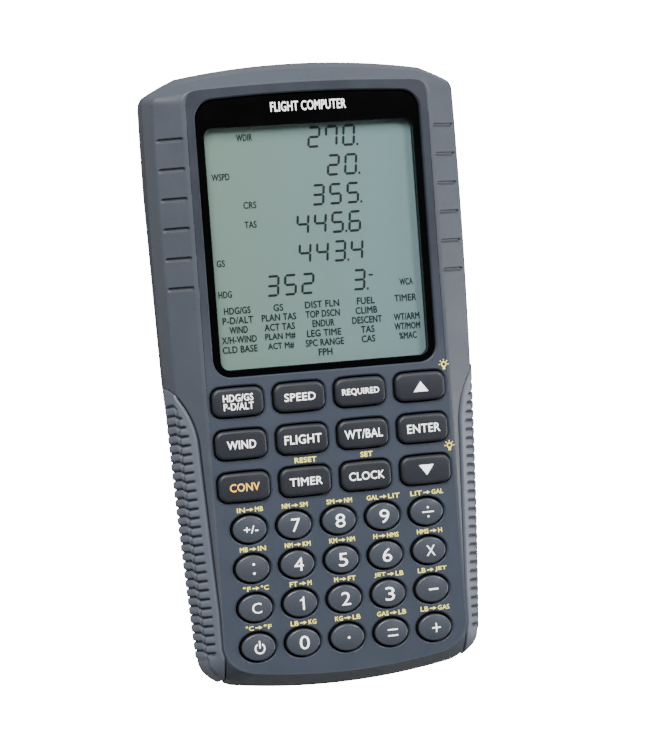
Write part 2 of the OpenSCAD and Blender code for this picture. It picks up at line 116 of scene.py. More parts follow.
CAPTIONS = [(-18.4, 68.6, "WDIR", 4.6), (-26.0, 57.9, "WSPD", 5.2), (-18.2, 49.6, "CRS", 3.8),
            (-18.4, 44.1, "TAS", 3.5), (-27.8, 33.7, "GS", 2.4), (-27.2, 24.9, "HDG", 3.9),
            (25.9, 24.9, "WCA", 4.0), (25.3, 20.3, "TIMER", 6.6)]
MENU = [(-24.1, 20.2, ["HDG/GS", "P-D/ALT", "WIND", "X/H-WIND", "CLD BASE"]),
        (-12.2, 20.2, ["GS", "PLAN TAS", "ACT TAS", "PLAN M#", "ACT M#"]),
        (0.6, 20.3, ["DIST FLN", "TOP DSCN", "ENDUR", "LEG TIME", "SPC RANGE", "FPH"]),
        (13.5, 20.3, ["FUEL", "CLIMB", "DESCENT", "TAS", "CAS"]),
        (25.3, 14.9, ["WT/ARM", "WT/MOM", "%MAC"])]


def linear(code):
    """Turns an sRGB hex colour into linear RGB, by the standard's two-part curve."""
    channels = [int(code[i:i + 2], 16) / 255 for i in (1, 3, 5)]
    return tuple(c / 12.92 if c <= 0.04045 else ((c + 0.055) / 1.055) ** 2.4 for c in channels)


# ---------- settings ----------

def colour(name, description, code):
    return FloatVectorProperty(name=name, description=description, subtype="COLOR", size=3, min=0, max=1,
                               default=linear(code))


def length(name, description, millimetres):
    return FloatProperty(name=name, description=description, unit="LENGTH", default=millimetres * MM)


class CasingSettings(bpy.types.PropertyGroup):
    """Sizes and colours of the casing and the grips."""
    rail: colour("Rails", "Colour of the sloping rails and the sides", "#4e545e")
    face: colour("Face", "Colour of the flat face round the keys", "#454c59")
    rubber: colour("Rubber", "Colour of the grips", "#6b727f")
    notch_depth: length("Notch depth", "Depth of the notches in the rails", 0.5)
    edge_radius: length("Edge radius", "Radius of the key holes' edges", 0.4)
    rib_depth: length("Rib depth", "Depth of the grooves between the grips' ribs", 0.6)
    grip_proud: length("Grip height", "How far the grips stand out from the casing", 0.3)


class KeySettings(bpy.types.PropertyGroup):
    """Sizes and colours of the keys."""
    oval: colour("Oval keys", "Colour of the number keys", "#4c515a")
    wide: colour("Wide keys", "Colour of the function keys", "#2d3037")
    ink: colour("Ink", "Colour of the keys' printing", "#ffffff")
    orange: colour("Orange ink", "Colour of the conversion key's printing", "#f0b850")
    yellow: colour("Yellow ink", "Colour of the printing beside the keys", "#efe565")
    oval_top: length("Oval key height", "Height of the oval keys' middle above the back", 25.3)
    wide_top: length("Wide key height", "Height of the wide keys' middle above the back", 25.5)


class DisplaySettings(bpy.types.PropertyGroup):
    """Colours of the display."""
    glass: colour("Screen", "Colour of the screen", "#8aa69a")
    segment: colour("Segments", "Colour of the screen's dark segments", "#1a2422")
    border: colour("Border", "Colour of the lens's printed border", "#020203")


class StageSettings(bpy.types.PropertyGroup):
    """Camera and light."""
    focal: FloatProperty(name="Focal length", description="Camera's focal length", unit="CAMERA",
                         default=103.6)
    place: FloatVectorProperty(name="Camera", description="Camera's place", subtype="TRANSLATION", size=3,
                               default=(-0.14473, 0.0275, 0.61834))
    turn: FloatVectorProperty(name="Turn", description="How the object is turned before the camera",
                              subtype="EULER", size=3,
                              default=tuple(math.radians(a) for a in (2.56, 13.61, 4.22)))
    key_light: FloatProperty(name="Key light", description="Power of the large light", unit="POWER",
                             default=25.0)
    floor_glow: FloatProperty(name="Floor glow", description="How bright the floor is to the camera", min=0,
                              default=20.0)
    ambient: FloatProperty(name="Ambient", description="Light from the room's walls", min=0, default=0.46)


# ---------- meshes ----------

def grid_faces(rows, columns, wrap=False):
    """Quads between neighbouring rows and columns of a grid; wrap also joins the last row to the first."""
    r = np.arange(rows if wrap else rows - 1)[:, None]
    c = np.arange(columns - 1)[None, :]
    nxt = (r + 1) % rows
    return np.stack([r * columns + c, nxt * columns + c, nxt * columns + c + 1, r * columns + c + 1],
                    axis=-1).reshape(-1, 4)


class Patchwork:
    """Collects points and faces, in millimetres, and makes them one mesh."""

    def __init__(self):
        self.points, self.faces, self.slots, self.smooth, self.depth, self.count = [], [], [], [], [], 0

    def add(self, points, faces, slot=0, smooth=True, depth=0.0):
        points = np.asarray(points, float).reshape(-1, 3)
        self.depth.append(np.broadcast_to(np.ravel(depth), (len(points),)) if np.size(depth) == 1
                          else np.ravel(depth))
        faces = [[int(i) + self.count for i in f] for f in faces]
        self.points.append(points)
        self.faces += faces
        self.slots += [slot] * len(faces)
        self.smooth += [smooth] * len(faces)
        self.count += len(points)

    def grid(self, grid, slot=0, wrap=False, flip=False, depth=0.0):
        """Adds a grid of points, of shape rows by columns by 3."""
        faces = grid_faces(grid.shape[0], grid.shape[1], wrap)
        self.add(grid, faces[:, ::-1] if flip else faces, slot, depth=depth)

    def piece(self, name, materials, body="casing", replaces=(), slot=None):
        mesh = bpy.data.meshes.new(name)
        mesh.from_pydata((np.concatenate(self.points) * MM).tolist(), [], self.faces)
        for material in materials:
            mesh.materials.append(material)
        mesh.polygons.foreach_set("material_index", self.slots)
        mesh.polygons.foreach_set("use_smooth", self.smooth)
        # The groove attribute is the mask by which a material paints shade into grooves and recesses.
        groove = mesh.attributes.new("groove", "FLOAT", "POINT")
        groove.data.foreach_set("value", np.concatenate(self.depth))
        work = bmesh.new()
        work.from_mesh(mesh)
        bmesh.ops.remove_doubles(work, verts=work.verts, dist=2e-6)
        bmesh.ops.dissolve_degenerate(work, edges=work.edges, dist=1e-6)
        work.to_mesh(mesh)
        work.free()
        mesh.validate()
        mesh.update()
        obj = bpy.data.objects.new(name, mesh)
        bpy.context.scene.collection.objects.link(obj)
        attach(obj, body)
        if replaces:
            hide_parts(*replaces)
        return obj


def smooth_step(x):
    """0 below 0, 1 above 1 and 3x^2 - 2x^3 between."""
    x = np.clip(x, 0, 1)
    return x * x * (3 - 2 * x)


def rounded_path(corners, count):
    """Cuts a polyline's corners three times at its quarter points, then places points evenly along it."""
    p = np.array(corners, float)
    for _ in range(3):
        q = np.empty((2 * len(p) - 2, 2))
        q[0::2] = 0.75 * p[:-1] + 0.25 * p[1:]
        q[1::2] = 0.25 * p[:-1] + 0.75 * p[1:]
        p = np.vstack([p[:1], q, p[-1:]])
    along = np.r_[0, np.cumsum(np.linalg.norm(np.diff(p, axis=0), axis=1))]
    at = np.linspace(0, along[-1], count)
    return np.c_[np.interp(at, along, p[:, 0]), np.interp(at, along, p[:, 1])]


def side_x(y):
    """Half width of the casing: a shallow arc, widest at WIDEST_Y."""
    return 46.1 - (y - WIDEST_Y) ** 2 / (2 * SIDE_RADIUS)


def grip_x(y):
    """Where a grip's inner edge is: a straight line up to y = -18.5, and above it an arc of radius 27."""
    return np.where(y < -18.5, 38 + 0.041 * (y + 18.5),
                    65 - np.sqrt(np.maximum(27 ** 2 - np.maximum(y + 18.5, 0) ** 2, 0)))


class Outline:
    """The right half of the casing, from the bottom middle to the top middle, one row for each station:
    the parting line, its outward direction, and the flat face's edge that belongs to it."""

    def __init__(self, side_y):
        low_x, high_x = np.linspace(0, 33, 19)[:-1], np.linspace(36, 0, 20)[1:]
        side_y = np.asarray(side_y, float)
        self.seam = np.vstack([
            np.c_[low_x, -HALF_LENGTH + low_x ** 2 / 380], rounded_path(LOW_CORNER, 22)[:-1],
            np.c_[side_x(side_y), side_y], rounded_path(HIGH_CORNER, 22)[1:],
            np.c_[high_x, HALF_LENGTH - high_x ** 2 / 440]])
        face_y = np.interp(side_y, [-77.5, -60, 70, 78.9], [-74.5, -60, 70, 77.6])
        low_f, high_f = low_x * 28 / 33, high_x * 31 / 36
        self.face = np.vstack([
            np.c_[low_f, -84.7 + low_f ** 2 / 340], rounded_path(FACE_LOW_CORNER, 22)[:-1],
            np.c_[np.full(len(side_y), 36.0), face_y], rounded_path(FACE_HIGH_CORNER, 22)[1:],
            np.c_[high_f, 83.6 - high_f ** 2 / 900]])
        step = np.linalg.norm(np.diff(self.seam, axis=0), axis=1)
        self.along = np.r_[0, np.cumsum(step)]
        # Outward direction: the path's own, blurred over 3 mm so that an inset corner doesn't fold.
        even = np.arange(0, self.along[-1], 0.5)
        px, py = (np.interp(even, self.along, self.seam[:, i]) for i in (0, 1))
        angle = np.unwrap(np.arctan2(np.gradient(py), np.gradient(px))) - math.pi / 2
        kernel = np.exp(-0.5 * (np.arange(-18, 19) / 6.0) ** 2)
        padded = np.r_[-math.pi - angle[18:0:-1], angle, math.pi - angle[-2:-20:-1]]
        angle = np.convolve(padded, kernel / kernel.sum(), "valid")
        angle = np.interp(self.along, even, angle)
        self.out = np.c_[np.cos(angle), np.sin(angle)]

    def line(self, w):
        """Points of the section line w, of any shape rows by columns. From -1 to 0 it crosses the flat face,
        to 1 the rail's slope down to the rim, to 2 the side down to the seam and to 3 the rear side."""
        seam, face, out = self.seam[:, None, :], self.face[:, None, :], self.out[:, None, :]
        rim = seam - RIM_INSET * out
        w = np.broadcast_to(w, (len(self.seam), np.shape(w)[-1]))[..., None]
        inset = np.interp(w, [1, 2, 2.33, 2.67, 3], [RIM_INSET, 0, 0.6, 1.45, 2.5])
        xy = np.where(w < 1, face + (rim - face) * w, seam - inset * out)
        z = np.interp(w, [0, 1, 2, 3], [24, RIM_Z, SEAM_Z, 5])
        return np.concatenate([xy, z], axis=-1)

    def skin(self, w, soft=0.055):
        """The section with its edges rounded: the mean of seven lines within soft of w."""
        w = np.asarray(w, float)
        return sum(self.line(w + d) for d in np.linspace(-soft, soft, 7)) / 7

    def grip_edge(self):
        """Section value at which the grip begins, and 2 where there is no grip."""
        y, seam, face = self.seam[:, 1], self.seam[:, 0], self.face[:, 0]
        rim = seam - RIM_INSET * self.out[:, 0]
        x = grip_x(y)
        on_rail = (x - face) / np.maximum(rim - face, 0.1)
        on_side = 1 + (x - rim) / np.maximum(seam - rim, 0.1)
        edge = np.where(x < rim, on_rail, on_side)
        return np.where(y > GRIP_TIP_Y, 2.0, np.clip(edge, 0.02, 2.0))


def normals(grid):
    """Unit normals of a grid: the cross product of its two directions of change."""
    n = np.cross(np.gradient(grid, axis=1), np.gradient(grid, axis=0))
    return n / np.maximum(np.linalg.norm(n, axis=-1, keepdims=True), 1e-9)


def both_sides(grid):
    """Joins a right half to its mirror image, so that the rows run once round the casing."""
    return np.concatenate([grid, (grid * [-1, 1, 1])[-2:0:-1]])


def at_height(loop, z):
    """A flat loop of points, set at a height."""
    return np.c_[loop, np.full(len(loop), z)]


def oval_loop(size, grow, count=48):
    """An ellipse whose half axes are grown by a distance."""
    a = np.linspace(0, 2 * math.pi, count, endpoint=False)
    return np.c_[(size[0] / 2 + grow) * np.cos(a), (size[1] / 2 + grow) * np.sin(a)]


def soft_rectangle(size, radius, grow, bow=0.0, arc=9, straight=8):
    """A rectangle with round corners, grown by a distance. Its long edges bow out by a parabola."""
    a = np.linspace(0, math.pi / 2, arc)
    r, half = radius + grow, np.array(size) / 2 - radius
    loop = []
    for turn, (sx, sy) in enumerate([(1, 1), (-1, 1), (-1, -1), (1, -1)]):
        b = a + turn * math.pi / 2
        loop.append(np.c_[sx * half[0] + r * np.cos(b), sy * half[1] + r * np.sin(b)])
        if turn in (0, 2):
            x = np.linspace(half[0], -half[0], straight + 2)[1:-1] * (1 if turn == 0 else -1)
            loop.append(np.c_[x, np.full(straight, sy * (half[1] + r))])
    loop = np.vstack(loop)
    reach = np.clip(1 - (loop[:, 0] / (size[0] / 2 + grow)) ** 2, 0, 1)
    loop[:, 1] += np.sign(loop[:, 1]) * bow * reach * (np.abs(loop[:, 1]) / (size[1] / 2 + grow)) ** 4
    return loop


def lens_loop(grow):
    """The lens's outline: round corners, and a top edge that bows out by 1.2 mm."""
    loop = soft_rectangle((65, 77.3), 4.9, grow) + [0, 40.4]
    reach = 1 - (loop[:, 0] / 32.5) ** 2
    loop[:, 1] += 1.2 * np.clip(reach, 0, 1) * (loop[:, 1] > 60)
    return loop


def holes():
    """Every opening in the face, as a function that gives its loop grown by a distance."""
    made = [lambda g: lens_loop(g + 0.15)]
    for y in WIDE_ROWS:
        for x in WIDE_COLUMNS:
            made.append(lambda g, x=x, y=y: soft_rectangle(WIDE_HOLE, WIDE_CORNER, g, 0.25) + [x, y])
    for y in KEY_ROWS:
        for x in KEY_COLUMNS:
            made.append(lambda g, x=x, y=y: oval_loop(OVAL_HOLE, g) + [x, y])
    return made


def sheet_with_holes(outer, loops, z):
    """Fills the outer loop with triangles and leaves the inner loops open."""
    coords = [Vector(p) for loop in [outer] + loops for p in loop.tolist()]
    faces, start = [], 0
    for loop in [outer] + loops:
        faces.append(list(range(start, start + len(loop))))
        start += len(loop)
    verts, _, tris, _, _, origin = delaunay_2d_cdt(coords, [], faces, 0, 1e-7, True)
    kept = [t for t, o in zip(tris, origin) if list(o) == [0]]
    return np.array([(v.x, v.y, z) for v in verts]), kept


# ---------- printing ----------

def bolder(points, faces, by):
    """The union of a flat shape and four copies of it, each shifted by a distance to one side."""
    shapes = [(points + shift, faces) for shift in ([by, 0], [-by, 0], [0, by], [0, -by])]
    points, faces = joined(shapes)
    area = [np.cross(points[b] - points[a], points[c] - points[a]) for a, b, c in faces]
    faces = [f if a > 0 else f[::-1] for f, a in zip(faces, area) if abs(a) > 2e-4]
    # Too fine or too coarse a tolerance fills the gaps between letters, so the result's area is looked at.
    for tolerance in (1e-6, 1e-5, 1e-4):
        verts, _, tris, _, _, origin = delaunay_2d_cdt([Vector(p) for p in points.tolist()], [], faces, 0,
                                                       tolerance, True)
        flat, kept = np.array([(v.x, v.y) for v in verts]), [list(t) for t, o in zip(tris, origin) if o]
        a, b, c = (flat[np.array(kept)[:, i]] for i in range(3))
        if np.abs(np.cross(b - a, c - a)).sum() / 2 < 0.75 * np.prod(np.ptp(flat, axis=0)):
            return flat, kept
    raise RuntimeError("The letters couldn't be made bolder")


def text_shape(text, width, height, weight=0.0):
    """Flat letters fitted to a width and height round the middle, with strokes made bolder by weight."""
    curve = bpy.data.curves.new("letters", "FONT")
    curve.body, curve.align_x, curve.space_line = text, "CENTER", 0.86
    curve.resolution_u, curve.space_character = 3, 1.04
    holder = bpy.data.objects.new("letters", curve)
    bpy.context.scene.collection.objects.link(holder)
    bpy.context.view_layer.update()
    mesh = bpy.data.meshes.new_from_object(holder)
    points = np.empty(len(mesh.vertices) * 3)
    mesh.vertices.foreach_get("co", points)
    points = points.reshape(-1, 3)[:, :2]
    faces = [list(p.vertices) for p in mesh.polygons]
    bpy.data.objects.remove(holder)
    bpy.data.curves.remove(curve)
    bpy.data.meshes.remove(mesh)
    low, high = points.min(0), points.max(0)
    points = (points - (low + high) / 2) / (high - low) * [width - 2 * weight, height - 2 * weight]
    return bolder(points, faces, weight) if weight else (points, faces)


def ring_shape(radius, stroke, start, end, count=28):
    """A ring or part of one: two arcs, one stroke's width apart."""
    a = np.linspace(start, end, count)
    arcs = [np.c_[np.cos(a), np.sin(a)] * r for r in (radius - stroke / 2, radius + stroke / 2)]
    faces = [[i, i + 1, count + i + 1, count + i][::-1] for i in range(count - 1)]
    return np.vstack(arcs), faces


def bar_shape(x0, y0, x1, y1):
    return np.array([(x0, y0), (x1, y0), (x1, y1), (x0, y1)], float), [[0, 1, 2, 3]]


def moved(shape, x, y):
    """A flat shape, which is its points and faces, shifted in the plane."""
    return shape[0] + [x, y], shape[1]


def joined(shapes):
    """Several flat shapes as one."""
    points, faces, count = [], [], 0
    for p, f in shapes:
        points.append(p)
        faces += [[i + count for i in face] for face in f]
        count += len(p)
    return np.vstack(points), faces


def symbol(text, width, height):
    """A key's printing: a drawn sign where the key has one, and letters otherwise."""
    if text == "up":
        return np.array([(-width / 2, -height / 2), (width / 2, -height / 2), (0, height / 2)]), [[0, 1, 2]]
    if text == "down":
        return np.array([(-width / 2, height / 2), (0, -height / 2), (width / 2, height / 2)]), [[0, 1, 2]]
    if text == "power":
        ring = ring_shape(1.35, 0.42, math.radians(118), math.radians(422))
        return joined([moved(ring, 0, -0.3), bar_shape(-0.21, -0.2, 0.21, 1.9)])
    if text == "-":
        return bar_shape(-width / 2, -height / 2, width / 2, height / 2)
    if text == "+":
        return joined([bar_shape(-width / 2, -0.2, width / 2, 0.2), bar_shape(-0.2, 0.2, 0.2, height / 2),
                       bar_shape(-0.2, -height / 2, 0.2, -0.2)])
    if text == "=":
        return joined([bar_shape(-width / 2, s * height / 2 - 0.21, width / 2, s * height / 2 + 0.21)
                       for s in (-1, 1)])
    if text == "÷":
        dot = ring_shape(0.16, 0.32, 0, 2 * math.pi, 13)
        return joined([bar_shape(-width / 2, -0.19, width / 2, 0.19)]
                      + [moved(dot, 0, s * height / 2 * 0.8) for s in (-1, 1)])
    if text in (":", "."):
        dot = ring_shape(0.19, 0.38, 0, 2 * math.pi, 15)
        places = (-height / 2, height / 2) if text == ":" else (0,)
        return joined([moved(dot, 0, p) for p in places])
    if text == "1":
        x = width / 2
        return np.array([(x, -height / 2), (x, height / 2), (x - 0.3, height / 2), (x - 0.45, height / 2 - 0.35),
                         (x - 0.8, height / 2 - 0.66), (x - 1.25, height / 2 - 0.8), (x - 1.25, height / 2 - 1.2),
                         (x - 0.55, height / 2 - 1.1), (x - 0.55, -height / 2)]), [list(range(9))]
    return text_shape(text, width, height, 0.05 if len(text) > 1 else 0.0)


def divided(points, faces, cuts=1):
    """Cuts each face's edges, so that the shape can follow a dome."""
    mesh = bpy.data.meshes.new("cut")
    mesh.from_pydata(np.c_[points, np.zeros(len(points))].tolist(), [], faces)
    work = bmesh.new()
    work.from_mesh(mesh)
    bmesh.ops.triangulate(work, faces=work.faces)
    for _ in range(cuts):
        long = [e for e in work.edges if e.calc_length() > 0.9]
        bmesh.ops.subdivide_edges(work, edges=long, cuts=1)
        bmesh.ops.triangulate(work, faces=work.faces)
    result = np.array([v.co[:2] for v in work.verts]), [[v.index for v in f.verts] for f in work.faces]
    work.free()
    bpy.data.meshes.remove(mesh)
    return result


def legend_shapes(text, x, y):
    """A small legend of two words with an arrow between them, 1.35 mm high."""
    left, right = text.split(">")
    left_w, right_w, arrow, gap = 1.15 * len(left), 1.15 * len(right), 2.0, 0.45
    start = x - (left_w + right_w + arrow + 2 * gap) / 2
    first, second = text_shape(left, left_w, 1.35, 0.03), text_shape(right, right_w, 1.35, 0.03)
    at = start + left_w + gap
    head = np.array([(at + arrow - 0.95, y - 0.5), (at + arrow, y), (at + arrow - 0.95, y + 0.5)]), [[0, 1, 2]]
    return joined([moved(first, start + left_w / 2, y), moved(second, at + arrow + gap + right_w / 2, y),
                   bar_shape(at, y - 0.14, at + arrow - 0.95, y + 0.14), head])


def lamp_shapes(x, y):
    """A small lamp sign: a ring, a bar for its base and five rays."""
    ring = ring_shape(0.66, 0.3, 0, 2 * math.pi, 20)
    shapes = [moved(ring, x, y), bar_shape(x - 0.35, y - 1.45, x + 0.35, y - 0.85)]
    for degrees in (0, 45, 90, 135, 180):
        a = math.radians(degrees)
        turn = np.array([[math.cos(a), math.sin(a)], [-math.sin(a), math.cos(a)]])
        ray = bar_shape(1.0, -0.12, 1.5, 0.12)
        shapes.append((ray[0] @ turn + [x, y], ray[1]))
    return joined(shapes)


SEGMENTS = {"0": "abcdef", "2": "abged", "3": "abgcd", "4": "fgbc", "5": "afgcd", "6": "afgecd", "7": "fabc"}


def digit_shapes(text, x, y):
    """Seven-segment figures, 5.4 by 3.1 mm between their bars' middles, 5.1 mm apart, leaning by a tenth."""
    w, h, t = 3.1, 5.4, 0.34
    ends = {"a": (0, h, w, h), "b": (w, h, w, h / 2), "c": (w, h / 2, w, 0), "d": (0, 0, w, 0),
            "e": (0, 0, 0, h / 2), "f": (0, h / 2, 0, h), "g": (0, h / 2, w, h / 2)}
    shapes, at = [], x
    for mark in text:
        if mark == ".":
            shapes.append(bar_shape(at - 1.2, y - t, at - 0.65, y + t))
            continue
        for key in SEGMENTS[mark]:
            x0, y0, x1, y1 = ends[key]
            a, b = np.array([x0, y0], float), np.array([x1, y1], float)
            along = (b - a) / np.linalg.norm(b - a)
            across = np.array([-along[1], along[0]]) * t
            a, b = a + along * 0.08, b - along * 0.08
            p = np.array([a, a + along * t - across, b - along * t - across, b, b - along * t + across,
                          a + along * t + across])
            p[:, 0] += at + 0.1 * p[:, 1]
            shapes.append((p + [0, y], [[0, 1, 2, 3, 4, 5]]))
        at += 5.1
    return joined(shapes)


# ---------- materials ----------

def add(tree, kind, values=(), links=(), **settings):
    """Adds a node with its settings, the constants of its sockets and the links that come in to it."""
    node = tree.nodes.new(kind)
    for key, value in settings.items():
        setattr(node, key, value)
    for key, value in dict(values).items():
        node.inputs[key].default_value = value
    for key, source in dict(links).items():
        tree.links.new(source, node.inputs[key])
    return node


def new_material(name):
    material = bpy.data.materials.new(name)
    material.use_nodes = True
    material.node_tree.nodes.clear()
    return material, material.node_tree


def finish_material(tree, shader):
    add(tree, "ShaderNodeOutputMaterial", links={"Surface": shader.outputs[0]})


def multiplied(tree, tint, level):
    """A mix node's colour, made lighter or darker by the value of another node."""
    return add(tree, "ShaderNodeMix", {0: 1.0}, {6: tint.outputs[2], 7: level.outputs[0]}, data_type="RGBA",
               blend_type="MULTIPLY")


def moulded(name, base, roughness, grain_mm, relief_mm, patch=0.025, spread=0.06, groove_shade=0.0, display_end_shade=0.0,
            **constants):
    """A moulded surface: fine relief of the mould's grain, with slow changes of tone and gloss from handling.
    Groove shade darkens its grooves and recesses, which the mesh's groove attribute marks: this is painted shade.
    Display end shade darkens the face towards the display end: painted shade as well."""
    material, tree = new_material(name)
    place = add(tree, "ShaderNodeTexCoord").outputs["Object"]
    grain = add(tree, "ShaderNodeTexNoise", {"Scale": 1 / (grain_mm * MM), "Detail": 3.0, "Roughness": 0.6},
                {"Vector": place})
    slow = add(tree, "ShaderNodeTexNoise", {"Scale": 1 / (9 * MM), "Detail": 3.0}, {"Vector": place})
    gloss = add(tree, "ShaderNodeMapRange", {"From Min": 0.3, "From Max": 0.7, "To Min": roughness - spread,
                                             "To Max": roughness + spread}, {"Value": slow.outputs["Fac"]})
    dark = tuple(c * (1 - patch) for c in base) + (1,)
    light = tuple(min(1, c * (1 + patch)) for c in base) + (1,)
    tone = add(tree, "ShaderNodeMix", {6: dark, 7: light}, {0: slow.outputs["Fac"]}, data_type="RGBA")
    fleck = add(tree, "ShaderNodeMapRange", {"From Min": 0.35, "From Max": 0.65, "To Min": 0.94, "To Max": 1.05},
                {"Value": grain.outputs["Fac"]})
    tint = multiplied(tree, tone, fleck)
    # Painted shade: darkens grooves and recesses by the groove attribute.
    if groove_shade:
        groove = add(tree, "ShaderNodeAttribute", attribute_name="groove")
        shade = add(tree, "ShaderNodeMapRange", {"To Min": 1.0, "To Max": 1 - groove_shade},
                    {"Value": groove.outputs["Fac"]})
        tint = multiplied(tree, tint, shade)
    # Painted shade: darkens the face towards the display end.
    if display_end_shade:
        along = add(tree, "ShaderNodeSeparateXYZ", links={0: place})
        shade = add(tree, "ShaderNodeMapRange", {"From Min": -4 * MM, "From Max": 40 * MM, "To Min": 1.0,
                                                 "To Max": 1 - display_end_shade}, {"Value": along.outputs["Y"]})
        tint = multiplied(tree, tint, shade)
    relief = add(tree, "ShaderNodeBump", {"Strength": 0.6, "Distance": relief_mm * MM},
                 {"Height": grain.outputs["Fac"]})
    shader = add(tree, "ShaderNodeBsdfPrincipled", constants,
                 {"Base Color": tint.outputs[2], "Roughness": gloss.outputs[0], "Normal": relief.outputs[0]})
    finish_material(tree, shader)
    return material


def white_floor(name, glow):
    """A lit white acrylic table: matt, with an even glow that lights the picture and not the object."""
    material, tree = new_material(name)
    seen = add(tree, "ShaderNodeLightPath")
    lit = add(tree, "ShaderNodeMath", {1: glow}, {0: seen.outputs["Is Camera Ray"]}, operation="MULTIPLY")
    place = add(tree, "ShaderNodeTexCoord").outputs["Object"]
    cloud = add(tree, "ShaderNodeTexNoise", {"Scale": 3.0, "Detail": 2.0}, {"Vector": place})
    gloss = add(tree, "ShaderNodeMapRange", {"To Min": 0.7, "To Max": 0.8}, {"Value": cloud.outputs["Fac"]})
    shader = add(tree, "ShaderNodeBsdfPrincipled", {"Base Color": (0.35, 0.35, 0.35, 1), "IOR": 1.3,
                                                   "Emission Color": (1, 1, 1, 1)},
                 {"Roughness": gloss.outputs[0], "Emission Strength": lit.outputs[0]})
    finish_material(tree, shader)
    return material


def printed_ink(name, base, roughness=0.55):
    """Pad-printed ink: a thin matt coat whose cover is a little uneven. Light inks also glow a little: a painted
    glow that makes fresh white and yellow print brighter next to dark plastic than its lighting makes it."""
    # Painted glow: light inks give off a little light of their own.
    painted_glow = 0.0 if sum(base) < 0.3 else 1.4
    return moulded(name, base, roughness, 0.25, 0.004, 0.05, 0.05, IOR=1.45,
                   **{"Emission Strength": painted_glow, "Emission Color": tuple(base) + (1,)})


def screen_glass(name, base):
    """Liquid crystal behind a polariser: a matt grey-green, bluer to the right, with a faint satin gloss."""
    material, tree = new_material(name)
    place = add(tree, "ShaderNodeTexCoord").outputs["Object"]
    split = add(tree, "ShaderNodeSeparateXYZ", links={0: place})
    across = add(tree, "ShaderNodeMapRange", {"From Min": -0.03, "From Max": 0.032, "To Min": 0.0, "To Max": 1.0},
                 {"Value": split.outputs["X"]})
    grain = add(tree, "ShaderNodeTexNoise", {"Scale": 1 / (0.5 * MM), "Detail": 2.0}, {"Vector": place})
    right = linear("#87a5a9")
    tone = add(tree, "ShaderNodeMix", {6: tuple(base) + (1,), 7: right + (1,)}, {0: across.outputs[0]},
               data_type="RGBA")
    speck = add(tree, "ShaderNodeMapRange", {"To Min": 0.97, "To Max": 1.03}, {"Value": grain.outputs["Fac"]})
    tint = multiplied(tree, tone, speck)
    shader = add(tree, "ShaderNodeBsdfPrincipled", {"Roughness": 0.45, "IOR": 1.4},
                 {"Base Color": tint.outputs[2]})
    finish_material(tree, shader)
    return material


def clear_window(name):
    """Clear acrylic: nearly all light passes, and the surface keeps a weak gloss."""
    material, tree = new_material(name)
    place = add(tree, "ShaderNodeTexCoord").outputs["Object"]
    smear = add(tree, "ShaderNodeTexNoise", {"Scale": 1 / (14 * MM), "Detail": 4.0}, {"Vector": place})
    gloss = add(tree, "ShaderNodeMapRange", {"To Min": 0.04, "To Max": 0.12}, {"Value": smear.outputs["Fac"]})
    shader = add(tree, "ShaderNodeBsdfPrincipled",
                 {"Base Color": (0.02, 0.03, 0.03, 1), "Alpha": 0.08, "IOR": 1.49},
                 {"Roughness": gloss.outputs[0]})
    finish_material(tree, shader)
    return material


def metal(name, base, roughness, lines_mm):
    """Plated or rolled metal: fine drawn lines in its gloss."""
    material, tree = new_material(name)
    place = add(tree, "ShaderNodeTexCoord").outputs["Object"]
    stretch = add(tree, "ShaderNodeMapping", {"Scale": (1.0, 0.08, 1.0)}, {"Vector": place})
    lines = add(tree, "ShaderNodeTexNoise", {"Scale": 1 / (lines_mm * MM), "Detail": 3.0},
                {"Vector": stretch.outputs[0]})
    gloss = add(tree, "ShaderNodeMapRange", {"To Min": roughness - 0.08, "To Max": roughness + 0.12},
                {"Value": lines.outputs["Fac"]})
    relief = add(tree, "ShaderNodeBump", {"Strength": 0.3, "Distance": 0.01 * MM},
                 {"Height": lines.outputs["Fac"]})
    shader = add(tree, "ShaderNodeBsdfPrincipled", {"Base Color": tuple(base) + (1,), "Metallic": 1.0},
                 {"Roughness": gloss.outputs[0], "Normal": relief.outputs[0]})
    finish_material(tree, shader)
    return material


# ---------- pieces ----------

